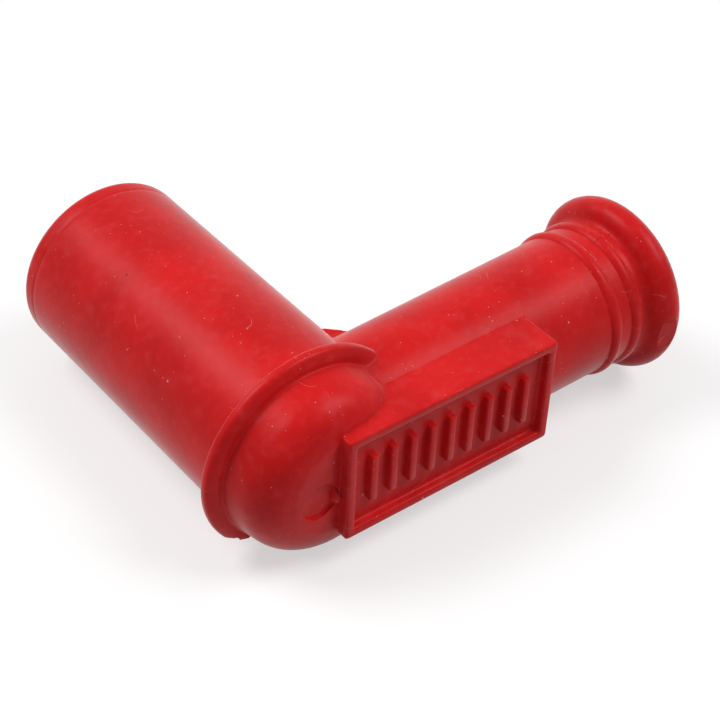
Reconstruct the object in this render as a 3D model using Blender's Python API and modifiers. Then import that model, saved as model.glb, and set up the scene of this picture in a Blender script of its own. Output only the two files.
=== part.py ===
"""Right-angled spark plug cap, in metres with +Z up.

A moulded silicone boot holds a turned brass socket that grips the plug's terminal, a spring
wire clip in the socket's groove, and a lead screw that pierces the end of the ignition lead.
The cap lies on its side. Its barrel points along +Y, its lead tube along +X, and every piece
is drawn about the point where the two bores' axes cross.
"""

import math

import bmesh
import bpy
from mathutils import Matrix, Vector

# Clearances
SEAT_GAP = 0.0003  # between pieces that seat on each other
CUT_MARGIN = 0.002  # how far a cutter runs past the face that it opens

# Barrel, which slips over the plug's insulator
BARREL_RADIUS = 0.0120
BARREL_LENGTH = 0.0427  # from the crossing of the axes to the mouth
BARREL_RIM_ROUND = 0.0013
PLUG_BORE_RADIUS = 0.0056
PLUG_MOUTH_RADIUS = 0.0074
PLUG_MOUTH_DEPTH = 0.0042  # length of the taper that leads the plug in

# Flange that the mould leaves round its parting line
FLANGE_RADIUS = 0.0141
FLANGE_THICKNESS = 0.0015
FLANGE_CENTRE = -0.0008  # along the barrel's axis
FLANGE_EDGE_ROUND = 0.0005
FLANGE_ROOT_ROUND = 0.0006
TORN_BELOW = 0.0094  # the flange is torn off from this far under the axis
TORN_RADIUS = 0.0118  # what the tear leaves, just under the barrel's own surface

# Domed closed end
DOME_RADIUS = 0.0117
DOME_DEPTH = 0.0088
DOME_FLAT_RADIUS = 0.0069
GATE_MARK_RADIUS = 0.0027
GATE_MARK_DEPTH = 0.0003
GATE_MARK_X = -0.0029
GATE_MARK_Z = -0.0007

# Lead tube, with two raised rings and a flared collar
LEAD_RADIUS = 0.0094  # beside the rings
LEAD_ELBOW_RADIUS = 0.0091  # where the tube leaves the elbow
LEAD_LENGTH = 0.0533  # from the crossing of the axes to the collar's end face
LEAD_BORE_RADIUS = 0.0037
LEAD_MOUTH_RADIUS = 0.0065
LEAD_MOUTH_DEPTH = 0.0050
COLLAR_RADIUS = 0.0119
COLLAR_BEAD = 0.0017  # radius of the round rim
NECK_ROUND = 0.0016  # radius of the hollow between the tube and the collar
RING_HEIGHT = 0.0005
RING_HALF_WIDTH = 0.0009
RING_STATION = 0.0434  # middle of the ring next to the elbow
RING_PITCH = 0.0035
RING_COUNT = 2

# Web in the elbow's inner corner
WEB_HALF_HEIGHT = 0.0052
WEB_REACH = 0.0151  # from the crossing of the axes, at 45 degrees

# Name panel on the lead tube's front, with plain ribs where the lettering was
PANEL_START = -0.0005  # along the lead tube
PANEL_END = 0.0307
PANEL_HALF_HEIGHT = 0.0078
PANEL_DEPTH_ELBOW_END = 0.0104  # from the lead tube's axis to the panel's face
PANEL_DEPTH_LEAD_END = 0.0112
PANEL_EDGE_ROUND = 0.0003
PANEL_BORDER = 0.0012
PANEL_RECESS = 0.0011
RIB_COUNT = 9
RIB_WIDTH = 0.0009
RIB_HALF_HEIGHT = 0.0036
RIB_RISE = 0.0009

# Brass socket for the plug's terminal
SOCKET_RADIUS = 0.0050
SOCKET_BORE_RADIUS = 0.00325
SOCKET_MOUTH = 0.0145  # along the barrel's axis
SOCKET_FLOOR = 0.0040
SOCKET_END = -0.0050
SOCKET_CHAMFER = 0.0005

# Spring wire clip in the socket's groove
CLIP_WIRE_RADIUS = 0.0004
CLIP_STATION = 0.0115  # along the barrel's axis
CLIP_BITE = 0.0003  # how far its straight side reaches into the socket's bore
CLIP_HALF_OPENING = math.radians(14)  # half the angle between the wire's ends
CLIP_STEPS = 10
SLOT_EASE = 0.0001  # extra width of the slot over the groove

# Lead screw
SCREW_SHANK_RADIUS = 0.0013
SCREW_SHANK_START = -0.0020  # along the lead tube
SCREW_COLLAR_RADIUS = 0.0029
SCREW_COLLAR_LENGTH = 0.0010
SCREW_ROOT_RADIUS = 0.0011
SCREW_CREST_RADIUS = 0.0018
SCREW_THREAD_PITCH = 0.0020
SCREW_TURNS = 4
SCREW_POINT_LENGTH = 0.0030

# Facets round each turned shape
BARREL_STEPS = 48
LEAD_STEPS = 40
BRASS_STEPS = 32
ARC_STEPS = 4

# Turned shapes are drawn about their own Z axis, then laid along the barrel or the lead tube
ALONG_BARREL = (math.radians(-90), 0, 0)
ALONG_LEAD = (0, math.radians(90), 0)


def clear_scene():
    for old in list(bpy.data.objects):
        bpy.data.objects.remove(old, do_unlink=True)


def collection(name, hidden):
    group = bpy.data.collections.new(name)
    group.hide_render = hidden
    bpy.context.scene.collection.children.link(group)
    return group


def material(name, colour, roughness, metallic):
    made = bpy.data.materials.new(name)
    made.use_nodes = True
    shader = made.node_tree.nodes["Principled BSDF"]
    shader.inputs["Base Color"].default_value = (*colour, 1)
    shader.inputs["Roughness"].default_value = roughness
    shader.inputs["Metallic"].default_value = metallic
    return made


def red_silicone():
    return material("red_silicone", (0.62, 0.02, 0.02), 0.45, 0)


def turned_brass():
    return material("turned_brass", (0.72, 0.52, 0.22), 0.3, 1)


def spring_steel():
    return material("spring_steel", (0.56, 0.57, 0.58), 0.25, 1)


def arc(centre, radius, start, end):
    """Points (radius, height) on an arc of a turned outline, between two angles in degrees."""
    points = []
    for step in range(ARC_STEPS + 1):
        angle = math.radians(start + (end - start) * step / ARC_STEPS)
        points.append((centre[0] + radius * math.cos(angle), centre[1] + radius * math.sin(angle)))
    return points


def place(obj, group, frame, rotation=(0, 0, 0), cutter=False):
    group.objects.link(obj)
    obj.parent = frame
    obj.rotation_euler = rotation
    if cutter:
        obj.hide_render = True
        obj.display_type = "WIRE"
    return obj


def turned(name, outline, steps):
    """A solid turned about Z from an outline that runs down its outer side, from axis to axis."""
    mesh = bpy.data.meshes.new(name)
    points = [(radius, 0, height) for radius, height in outline]
    mesh.from_pydata(points, [(i, i + 1) for i in range(len(points) - 1)], [])
    obj = bpy.data.objects.new(name, mesh)
    spin = obj.modifiers.new("turn", "SCREW")
    spin.steps = steps
    spin.render_steps = steps
    spin.use_merge_vertices = True
    spin.merge_threshold = 0.00001
    spin.use_smooth_shade = True
    return obj


def block(name, low, high):
    """A box between two corners, as a mesh whose points can still be moved."""
    mesh = bpy.data.meshes.new(name)
    box = bmesh.new()
    size = Vector(high) - Vector(low)
    middle = (Vector(high) + Vector(low)) / 2
    bmesh.ops.create_cube(box, size=1, matrix=Matrix.LocRotScale(middle, None, size))
    box.to_mesh(mesh)
    box.free()
    return bpy.data.objects.new(name, mesh)


def boolean(obj, operation, other):
    step = obj.modifiers.new(f"{operation.lower()} {other.name}", "BOOLEAN")
    step.operation = operation
    step.object = other


def barrel_outline():
    """Barrel, flange and dome, from the mouth down to the dome's flat."""
    flange_back = FLANGE_CENTRE + FLANGE_THICKNESS / 2
    flange_front = FLANGE_CENTRE - FLANGE_THICKNESS / 2
    rim = BARREL_RADIUS - BARREL_RIM_ROUND
    lip = FLANGE_RADIUS - FLANGE_EDGE_ROUND
    dome_round = DOME_RADIUS - DOME_FLAT_RADIUS
    outline = [(0, BARREL_LENGTH)]
    outline += arc((rim, BARREL_LENGTH - BARREL_RIM_ROUND), BARREL_RIM_ROUND, 90, 0)
    outline += arc(
        (BARREL_RADIUS + FLANGE_ROOT_ROUND, flange_back + FLANGE_ROOT_ROUND), FLANGE_ROOT_ROUND, 180, 270
    )
    outline += arc((lip, flange_back - FLANGE_EDGE_ROUND), FLANGE_EDGE_ROUND, 90, 0)
    outline += arc((lip, flange_front + FLANGE_EDGE_ROUND), FLANGE_EDGE_ROUND, 0, -90)
    outline += arc(
        (DOME_RADIUS + FLANGE_ROOT_ROUND, flange_front - FLANGE_ROOT_ROUND), FLANGE_ROOT_ROUND, 90, 180
    )
    outline += arc((DOME_FLAT_RADIUS, dome_round - DOME_DEPTH), dome_round, 0, -90)
    outline.append((0, -DOME_DEPTH))
    return outline


def ring_outline(station):
    """One raised ring of the lead tube, as an arc that stands RING_HEIGHT proud."""
    radius = (RING_HALF_WIDTH**2 + RING_HEIGHT**2) / (2 * RING_HEIGHT)
    half_angle = math.degrees(math.asin(RING_HALF_WIDTH / radius))
    return arc((LEAD_RADIUS + RING_HEIGHT - radius, station), radius, half_angle, -half_angle)


def lead_outline():
    """Collar, neck, rings and tube, from the collar's end face down to inside the barrel."""
    bead_middle = (COLLAR_RADIUS - COLLAR_BEAD, LEAD_LENGTH - COLLAR_BEAD)
    neck_radius = LEAD_RADIUS + NECK_ROUND
    reach = COLLAR_BEAD + NECK_ROUND
    drop = math.sqrt(reach**2 - (neck_radius - bead_middle[0]) ** 2)
    tangent = math.degrees(math.atan2(-drop, neck_radius - bead_middle[0]))
    outline = [(0, LEAD_LENGTH)]
    outline += arc(bead_middle, COLLAR_BEAD, 90, 0)
    outline += arc(bead_middle, COLLAR_BEAD, 0, tangent)[1:]
    outline += arc((neck_radius, bead_middle[1] - drop), NECK_ROUND, tangent + 180, 180)[1:]
    for ring in reversed(range(RING_COUNT)):
        outline += ring_outline(RING_STATION + ring * RING_PITCH)
    outline += [(LEAD_ELBOW_RADIUS, 0), (0, 0)]
    return outline


def panel_face(x):
    """Y of the name panel's face, which leans out towards the lead end."""
    share = (x - PANEL_START) / (PANEL_END - PANEL_START)
    return -(PANEL_DEPTH_ELBOW_END + share * (PANEL_DEPTH_LEAD_END - PANEL_DEPTH_ELBOW_END))


def panel_box(name, inset, ahead, behind):
    """A box inset from the panel's outline, from ahead of its leaning face to behind it."""
    height = PANEL_HALF_HEIGHT - inset
    box = block(name, (PANEL_START + inset, -1, -height), (PANEL_END - inset, 1, height))
    for vertex in box.data.vertices:
        offset = -ahead if vertex.co.y < 0 else behind
        vertex.co.y = panel_face(vertex.co.x) + offset
    return box


def panel_block():
    body = panel_box("panel_block", 0, 0, PANEL_DEPTH_ELBOW_END)
    edges = body.modifiers.new("round edges", "BEVEL")
    edges.width = PANEL_EDGE_ROUND
    edges.segments = 2
    return body


def panel_recess():
    """The cutter for the panel's sunk field, which leaves its border standing."""
    return panel_box("panel_recess", PANEL_BORDER, CUT_MARGIN, PANEL_RECESS)


def panel_ribs():
    """Plain upright ribs in the sunk field, evenly spaced, as one mesh to be joined to the boot."""
    mesh = bpy.data.meshes.new("panel_ribs")
    ribs = bmesh.new()
    low_x = PANEL_START + PANEL_BORDER
    pitch = (PANEL_END - PANEL_BORDER - low_x) / (RIB_COUNT + 1)
    depth = RIB_RISE + PANEL_RECESS
    for rib in range(RIB_COUNT):
        x = low_x + pitch * (rib + 1)
        y = panel_face(x) + PANEL_RECESS - RIB_RISE + depth / 2
        size = Vector((RIB_WIDTH, depth, 2 * RIB_HALF_HEIGHT))
        bmesh.ops.create_cube(ribs, size=1, matrix=Matrix.LocRotScale(Vector((x, y, 0)), None, size))
    ribs.to_mesh(mesh)
    ribs.free()
    return bpy.data.objects.new("panel_ribs", mesh)


def elbow_web():
    """A square block turned 45 degrees, whose outer face closes the elbow's inner corner."""
    low = (0, -LEAD_ELBOW_RADIUS, -WEB_HALF_HEIGHT)
    web = block("elbow_web", low, (WEB_REACH, LEAD_ELBOW_RADIUS, WEB_HALF_HEIGHT))
    web.data.transform(Matrix.Rotation(math.radians(45), 4, "Z"))
    return web


def plug_bore():
    """Cutter for the plug's way in and the socket's pocket, from the mouth down to the pocket's floor."""
    pocket_radius = SOCKET_RADIUS + SEAT_GAP
    shoulder = SOCKET_MOUTH + SEAT_GAP
    taper_start = BARREL_LENGTH - PLUG_MOUTH_DEPTH
    slope = (PLUG_MOUTH_RADIUS - PLUG_BORE_RADIUS) / PLUG_MOUTH_DEPTH
    outline = [
        (0, BARREL_LENGTH + CUT_MARGIN),
        (PLUG_MOUTH_RADIUS + slope * CUT_MARGIN, BARREL_LENGTH + CUT_MARGIN),
        (PLUG_BORE_RADIUS, taper_start),
        (PLUG_BORE_RADIUS, shoulder),
        (pocket_radius, shoulder),
        (pocket_radius, SOCKET_END - SEAT_GAP),
        (0, SOCKET_END - SEAT_GAP),
    ]
    return turned("plug_bore", outline, BARREL_STEPS)


def lead_bore():
    """Cutter for the lead's way in, from the collar's mouth down into the socket's pocket."""
    slope = (LEAD_MOUTH_RADIUS - LEAD_BORE_RADIUS) / LEAD_MOUTH_DEPTH
    outline = [
        (0, LEAD_LENGTH + CUT_MARGIN),
        (LEAD_MOUTH_RADIUS + slope * CUT_MARGIN, LEAD_LENGTH + CUT_MARGIN),
        (LEAD_BORE_RADIUS, LEAD_LENGTH - LEAD_MOUTH_DEPTH),
        (LEAD_BORE_RADIUS, 0),
        (0, 0),
    ]
    return turned("lead_bore", outline, LEAD_STEPS)


def gate_mark():
    """Cutter for the shallow round mark on the dome's flat."""
    depth = GATE_MARK_DEPTH + CUT_MARGIN
    outline = [(0, depth), (GATE_MARK_RADIUS, depth), (GATE_MARK_RADIUS, 0), (0, 0)]
    cutter = turned("gate_mark", outline, BRASS_STEPS)
    cutter.location = (GATE_MARK_X, GATE_MARK_DEPTH - DOME_DEPTH, GATE_MARK_Z)
    return cutter


def torn_flange(cutters, frame):
    """Cutter for the flange's missing underside: a slab, less a core that keeps the barrel whole."""
    half_width = FLANGE_THICKNESS / 2 + FLANGE_ROOT_ROUND
    front = FLANGE_CENTRE - half_width
    back = FLANGE_CENTRE + half_width
    reach = FLANGE_RADIUS + CUT_MARGIN
    slab = block("torn_flange", (-reach, front, -reach), (reach, back, -TORN_BELOW))
    outline = [(0, reach), (TORN_RADIUS, reach), (TORN_RADIUS, -reach), (0, -reach)]
    core = place(turned("torn_flange_core", outline, BARREL_STEPS), cutters, frame, ALONG_BARREL, cutter=True)
    boolean(slab, "DIFFERENCE", core)
    return slab


def boot(parts, cutters, frame, finish):
    """The one-piece moulding: its turned forms and panel joined, then the bores and marks cut."""
    body = place(turned("boot", barrel_outline(), BARREL_STEPS), parts, frame, ALONG_BARREL)
    body.data.materials.append(finish)
    joined = [
        (turned("lead_tube", lead_outline(), LEAD_STEPS), ALONG_LEAD),
        (elbow_web(), (0, 0, 0)),
        (panel_block(), (0, 0, 0)),
    ]
    for piece, rotation in joined:
        boolean(body, "UNION", place(piece, cutters, frame, rotation, cutter=True))
    cuts = [
        (panel_recess(), (0, 0, 0)),
        (gate_mark(), (math.radians(90), 0, 0)),
        (torn_flange(cutters, frame), (0, 0, 0)),
        (plug_bore(), ALONG_BARREL),
        (lead_bore(), ALONG_LEAD),
    ]
    for cutter, rotation in cuts:
        boolean(body, "DIFFERENCE", place(cutter, cutters, frame, rotation, cutter=True))
    boolean(body, "UNION", place(panel_ribs(), cutters, frame, cutter=True))
    return body


def clip_chord():
    """Height of the clip's straight side over the socket's axis."""
    return SOCKET_BORE_RADIUS - CLIP_BITE + CLIP_WIRE_RADIUS


def socket_outline():
    """Bore, mouth, groove and closed end, from the bore's floor out over the mouth and down."""
    half_groove = CLIP_WIRE_RADIUS + SEAT_GAP
    groove_radius = SOCKET_RADIUS - 2 * CLIP_WIRE_RADIUS - SEAT_GAP
    return [
        (0, SOCKET_FLOOR),
        (SOCKET_BORE_RADIUS, SOCKET_FLOOR),
        (SOCKET_BORE_RADIUS, SOCKET_MOUTH - SOCKET_CHAMFER),
        (SOCKET_BORE_RADIUS + SOCKET_CHAMFER, SOCKET_MOUTH),
        (SOCKET_RADIUS - SOCKET_CHAMFER, SOCKET_MOUTH),
        (SOCKET_RADIUS, SOCKET_MOUTH - SOCKET_CHAMFER),
        (SOCKET_RADIUS, CLIP_STATION + half_groove),
        (groove_radius, CLIP_STATION + half_groove),
        (groove_radius, CLIP_STATION - half_groove),
        (SOCKET_RADIUS, CLIP_STATION - half_groove),
        (SOCKET_RADIUS, SOCKET_END + SOCKET_CHAMFER),
        (SOCKET_RADIUS - SOCKET_CHAMFER, SOCKET_END),
        (0, SOCKET_END),
    ]


def clip_slot():
    """Cutter that lets the clip's straight side through the socket's wall into its bore."""
    half_width = CLIP_WIRE_RADIUS + SEAT_GAP + SLOT_EASE
    reach = SOCKET_RADIUS + CUT_MARGIN
    floor = clip_chord() - CLIP_WIRE_RADIUS - SEAT_GAP
    return block(
        "clip_slot", (-reach, CLIP_STATION - half_width, floor), (reach, CLIP_STATION + half_width, reach)
    )


def screw_hole():
    """Cutter for the cross hole that takes the lead screw's shank."""
    radius = SCREW_SHANK_RADIUS + SEAT_GAP
    floor = SCREW_SHANK_START - SEAT_GAP
    outline = [(0, SOCKET_RADIUS + CUT_MARGIN), (radius, SOCKET_RADIUS + CUT_MARGIN), (radius, floor), (0, floor)]
    return turned("screw_hole", outline, BRASS_STEPS)


def plug_socket(parts, cutters, frame, finish):
    socket = place(turned("plug_socket", socket_outline(), BRASS_STEPS), parts, frame, ALONG_BARREL)
    socket.data.materials.append(finish)
    boolean(socket, "DIFFERENCE", place(clip_slot(), cutters, frame, cutter=True))
    boolean(socket, "DIFFERENCE", place(screw_hole(), cutters, frame, ALONG_LEAD, cutter=True))
    return socket


def retaining_clip(parts, frame, finish):
    """An open ring of spring wire in the groove, with one straight side across the bore."""
    radius = SOCKET_RADIUS - CLIP_WIRE_RADIUS
    corner = math.asin(clip_chord() / radius)
    end = math.radians(-90) + CLIP_HALF_OPENING
    sweep = [corner + (end - corner) * step / CLIP_STEPS for step in range(CLIP_STEPS + 1)]
    right_side = [(radius * math.cos(angle), radius * math.sin(angle)) for angle in reversed(sweep)]
    route = right_side + [(-x, z) for x, z in reversed(right_side)]
    curve = bpy.data.curves.new("retaining_clip", "CURVE")
    curve.dimensions = "3D"
    curve.bevel_depth = CLIP_WIRE_RADIUS
    curve.bevel_resolution = 2
    curve.use_fill_caps = True
    spline = curve.splines.new("POLY")
    spline.points.add(len(route) - 1)
    for point, (x, z) in zip(spline.points, route):
        point.co = (x, CLIP_STATION, z, 1)
    clip = place(bpy.data.objects.new("retaining_clip", curve), parts, frame)
    curve.materials.append(finish)
    return clip


def screw_outline():
    """Point, thread ridges, collar and shank, from the point back to the shank's end."""
    collar_seat = SOCKET_RADIUS + SEAT_GAP
    collar_face = collar_seat + SCREW_COLLAR_LENGTH
    thread_end = collar_face + SCREW_TURNS * SCREW_THREAD_PITCH
    outline = [(0, thread_end + SCREW_POINT_LENGTH)]
    for turn in range(SCREW_TURNS):
        start = thread_end - turn * SCREW_THREAD_PITCH
        outline += [(SCREW_ROOT_RADIUS, start), (SCREW_CREST_RADIUS, start - SCREW_THREAD_PITCH / 2)]
    outline += [
        (SCREW_ROOT_RADIUS, collar_face),
        (SCREW_COLLAR_RADIUS, collar_face),
        (SCREW_COLLAR_RADIUS, collar_seat),
        (SCREW_SHANK_RADIUS, collar_seat),
        (SCREW_SHANK_RADIUS, SCREW_SHANK_START),
        (0, SCREW_SHANK_START),
    ]
    return outline


def lead_screw(parts, frame, finish):
    screw = place(turned("lead_screw", screw_outline(), BRASS_STEPS), parts, frame, ALONG_LEAD)
    screw.data.materials.append(finish)
    return screw


def cap_frame(group):
    """The crossing of the bores' axes, set so that the cap lies on z = 0 with its box centred on the origin."""
    frame = bpy.data.objects.new("cap_frame", None)
    group.objects.link(frame)
    frame.location = (
        (FLANGE_RADIUS - LEAD_LENGTH) / 2,
        (PANEL_DEPTH_LEAD_END - BARREL_LENGTH) / 2,
        BARREL_RADIUS,
    )
    return frame


def main():
    clear_scene()
    parts = collection("spark_plug_cap", hidden=False)
    cutters = collection("cutters", hidden=True)
    frame = cap_frame(parts)
    brass = turned_brass()
    boot(parts, cutters, frame, red_silicone())
    plug_socket(parts, cutters, frame, brass)
    retaining_clip(parts, frame, spring_steel())
    lead_screw(parts, frame, brass)


main()
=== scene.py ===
"""Looks of a right-angled spark plug cap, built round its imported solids.

The red silicone boot is moulded again here with finely turned forms, softened creases, the torn
flange's ragged edge, the chip in its collar and a dusty, scuffed finish. The brass socket, the
lead screw with its real thread and the spring clip are turned again for the same places.
Lengths are metres. Each form is drawn about the point where the two bores' axes cross.
"""

import logging
import math
import random
from dataclasses import dataclass
from enum import Enum

import bmesh
import bpy
from mathutils import Matrix, Vector
from mathutils.kdtree import KDTree


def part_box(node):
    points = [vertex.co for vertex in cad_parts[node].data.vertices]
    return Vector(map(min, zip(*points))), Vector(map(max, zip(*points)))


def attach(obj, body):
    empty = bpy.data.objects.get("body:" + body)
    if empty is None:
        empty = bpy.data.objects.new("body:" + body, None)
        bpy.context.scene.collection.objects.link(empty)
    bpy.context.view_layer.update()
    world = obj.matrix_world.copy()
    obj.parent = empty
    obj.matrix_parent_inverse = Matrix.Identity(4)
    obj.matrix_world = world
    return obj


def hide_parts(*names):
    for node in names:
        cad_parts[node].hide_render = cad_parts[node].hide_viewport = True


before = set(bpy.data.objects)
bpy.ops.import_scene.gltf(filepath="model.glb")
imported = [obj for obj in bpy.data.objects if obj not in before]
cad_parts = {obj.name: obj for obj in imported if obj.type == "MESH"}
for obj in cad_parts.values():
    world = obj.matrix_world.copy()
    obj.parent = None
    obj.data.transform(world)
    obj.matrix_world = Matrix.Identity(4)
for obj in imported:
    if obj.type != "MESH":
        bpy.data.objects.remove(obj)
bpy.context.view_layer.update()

ROOT = "root"
WELD = 1e-6
MM = 0.001
PHOTO_SIDE = 720
SENSOR_WIDTH = 36.0
VOLUME_SLACK = 1e-4
SHARPEST_SMALL = math.radians(25)
HAIR_ASIDE = Vector((3, 5, 7)) * WELD / 10

log = logging.getLogger("spark_plug_cap")

Colour = tuple[float, float, float]
Point = tuple[float, float]


class Along(Enum):
    """The axes that turned forms are spun about."""

    BARREL = (0.0, 1.0, 0.0)
    LEAD = (1.0, 0.0, 0.0)

    def point(self, radius: float, station: float) -> Vector:
        """Returns the place of an outline's point, in the plane that holds both axes."""
        return Vector((radius, station, 0)) if self is Along.BARREL else Vector((station, radius, 0))


class Join(Enum):
    """What a tool does to a body."""

    ADD = "UNION"
    CUT = "DIFFERENCE"


class Form(Enum):
    """The boot's forms, numbered so that the seams between them can be found."""

    BARREL = 0
    LEAD = 1
    WEB = 2
    PANEL = 3
    CUT = 4
    RIB = 5


class Outline:
    """Outer line of a turned form, as radius and station along its axis."""

    FINEST_TURN = math.radians(12)

    def __init__(self, radius: float, station: float, spacing: float) -> None:
        """Starts the line.

        Args:
            radius: first point's distance from the axis.
            station: first point's place along the axis.
            spacing: longest step between two points.
        """
        self.points: list[Point] = [(radius, station)]
        self.spacing = spacing

    def run(self, radius: float, station: float) -> "Outline":
        """Adds a straight stretch.

        Args:
            radius: its end's distance from the axis.
            station: its end's place along the axis.

        Returns:
            This outline.
        """
        start = Vector(self.points[-1])
        stretch = Vector((radius, station)) - start
        steps = math.ceil(stretch.length / self.spacing) if stretch.length > WELD else 0
        for step in range(1, steps + 1):
            self.points.append(tuple(start + stretch * (step / steps)))
        return self

    def through(self, *points: Point) -> "Outline":
        """Adds straight stretches.

        Args:
            points: their ends, as radius and station.

        Returns:
            This outline.
        """
        for point in points:
            self.run(*point)
        return self

    def bend(self, middle: Point, radius: float, start: float, end: float) -> "Outline":
        """Adds an arc, after a straight stretch to where it starts.

        Args:
            middle: the arc's centre, as radius and station.
            radius: the arc's own radius.
            start: angle that it starts at, in degrees, with 0 pointing away from the axis.
            end: angle that it ends at, in degrees.

        Returns:
            This outline.
        """
        first = math.radians(start)
        sweep = math.radians(end - start)
        steps = max(math.ceil(abs(sweep) / self.FINEST_TURN), math.ceil(radius * abs(sweep) / self.spacing))
        self.run(middle[0] + radius * math.cos(first), middle[1] + radius * math.sin(first))
        for step in range(1, steps + 1):
            angle = first + sweep * step / steps
            self.points.append((middle[0] + radius * math.cos(angle), middle[1] + radius * math.sin(angle)))
        return self

    def spin(self, along: Along, steps: int) -> bmesh.types.BMesh:
        """Turns the line into a closed form.

        Args:
            along: the axis that it turns about.
            steps: how many faces go round.

        Returns:
            The form.
        """
        form = bmesh.new()
        verts = [form.verts.new(along.point(*point)) for point in self.points]
        edges = [form.edges.new(pair) for pair in zip(verts, verts[1:])]
        sweep(form, verts + edges, along, steps, closed=True)
        bmesh.ops.remove_doubles(form, verts=form.verts, dist=WELD)
        bmesh.ops.recalc_face_normals(form, faces=form.faces)
        return form


def sweep(
    form: bmesh.types.BMesh, parts: list[bmesh.types.BMVert | bmesh.types.BMEdge | bmesh.types.BMFace],
    along: Along, steps: int, angle: float = math.tau, climb: float = 0, closed: bool = False,
) -> None:
    """Sweeps parts of a form round an axis.

    Args:
        form: the shape that changes.
        parts: its points, edges and faces that are swept.
        along: the axis.
        steps: how many faces go round.
        angle: how far it goes.
        climb: how far each step moves along the axis.
        closed: whether its end is merged with its start.
    """
    bmesh.ops.spin(
        form, geom=parts, cent=(0, 0, 0), axis=along.value, dvec=Vector(along.value) * climb, angle=angle,
        steps=steps, use_merge=closed, use_normal_flip=False, use_duplicate=False,
    )


def box_form(low: Vector, high: Vector) -> bmesh.types.BMesh:
    """Makes a box.

    Args:
        low: its lowest corner.
        high: its highest corner.

    Returns:
        The box.
    """
    form = bmesh.new()
    size = Matrix.LocRotScale((low + high) / 2, None, high - low)
    bmesh.ops.create_cube(form, size=1, matrix=size)
    return form


def round_edges(form: bmesh.types.BMesh, width: float, segments: int) -> None:
    """Rounds every edge of a form.

    Args:
        form: the form.
        width: how far the rounding reaches from each edge.
        segments: how many faces it has across.
    """
    bmesh.ops.bevel(
        form, geom=form.edges[:], offset=width, segments=segments, profile=0.5,
        affect="EDGES", clamp_overlap=True, material=-1,
    )


def slice_up(form: bmesh.types.BMesh, spacing: float) -> None:
    """Slices a form across all three axes, so that its faces are small where it meets another.

    Args:
        form: the form.
        spacing: the distance between two slices.
    """
    for axis in range(3):
        places = [vert.co[axis] for vert in form.verts]
        low, high = min(places), max(places)
        across = Vector((axis == 0, axis == 1, axis == 2))
        steps = math.ceil((high - low) / spacing)
        for step in range(1, steps):
            bmesh.ops.bisect_plane(
                form, geom=form.verts[:] + form.edges[:] + form.faces[:], dist=WELD,
                plane_co=across * (low + (high - low) * step / steps), plane_no=across,
            )


def solid(name: str, form: bmesh.types.BMesh, kind: Form = Form.BARREL) -> bpy.types.Object:
    """Makes an object of a form, and frees the form.

    Args:
        name: the object's name.
        form: its shape.
        kind: which of the boot's forms it is, kept as its faces' material number.

    Returns:
        The object, in the scene.
    """
    for face in form.faces:
        face.material_index = kind.value
        face.smooth = True
    mesh = bpy.data.meshes.new(name)
    form.to_mesh(mesh)
    form.free()
    for _ in Form:
        mesh.materials.append(None)
    made = bpy.data.objects.new(name, mesh)
    bpy.context.scene.collection.objects.link(made)
    return made


def in_order(mesh: bpy.types.Mesh) -> bpy.types.Mesh:
    """Copies a mesh with its points and faces sorted by place, so that each run goes on from the same one.

    Args:
        mesh: a mesh whose order a cut may have shuffled.

    Returns:
        The sorted copy, with the faces' material numbers.
    """
    places = [tuple(vert.co) for vert in mesh.vertices]
    order = sorted(range(len(places)), key=places.__getitem__)
    rank = {number: new for new, number in enumerate(order)}
    rings: list[tuple[list[int], int]] = []
    for face in mesh.polygons:
        ring = [rank[number] for number in face.vertices]
        first = ring.index(min(ring))
        rings.append((ring[first:] + ring[:first], face.material_index))
    rings.sort()
    made = bpy.data.meshes.new(mesh.name)
    made.from_pydata([places[number] for number in order], [], [ring for ring, _ in rings])
    for _ in Form:
        made.materials.append(None)
    made.polygons.foreach_set("material_index", [kind for _, kind in rings])
    made.polygons.foreach_set("use_smooth", [True] * len(rings))
    made.update()
    return made


def volume(mesh: bpy.types.Mesh) -> float:
    """Returns the volume inside a mesh."""
    form = bmesh.new()
    form.from_mesh(mesh)
    inside = form.calc_volume(signed=True)
    form.free()
    return inside


def combine(body: bpy.types.Object, tool: bpy.types.Object, how: Join, tries: int = 5) -> None:
    """Joins a tool to a body or cuts it out, and removes the tool.

    Args:
        body: the object that changes.
        tool: the object that is used up.
        how: whether it joins or cuts.
        tries: how often it is done again, with the tool a hair aside, while its volume comes out wrong.
    """
    step = body.modifiers.new(tool.name, "BOOLEAN")
    step.operation = how.value
    step.object = tool
    before, used = body.data, tool.data
    first, second = volume(before), volume(used)
    least, most = (max(first, second), first + second) if how is Join.ADD else (first - second, first)
    slack = VOLUME_SLACK * second
    results: list[bpy.types.Mesh] = []
    for _ in range(tries):
        graph = bpy.context.evaluated_depsgraph_get()
        results.append(bpy.data.meshes.new_from_object(body.evaluated_get(graph)))
        if least - slack <= volume(results[-1]) <= most + slack:
            break
        log.warning("%s: the cut or join came out wrong", tool.name)
        used.transform(Matrix.Translation(HAIR_ASIDE))
    body.modifiers.clear()
    body.data = in_order(results[-1])
    bpy.data.objects.remove(tool)
    for mesh in (before, used, *results):
        bpy.data.meshes.remove(mesh)


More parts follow.
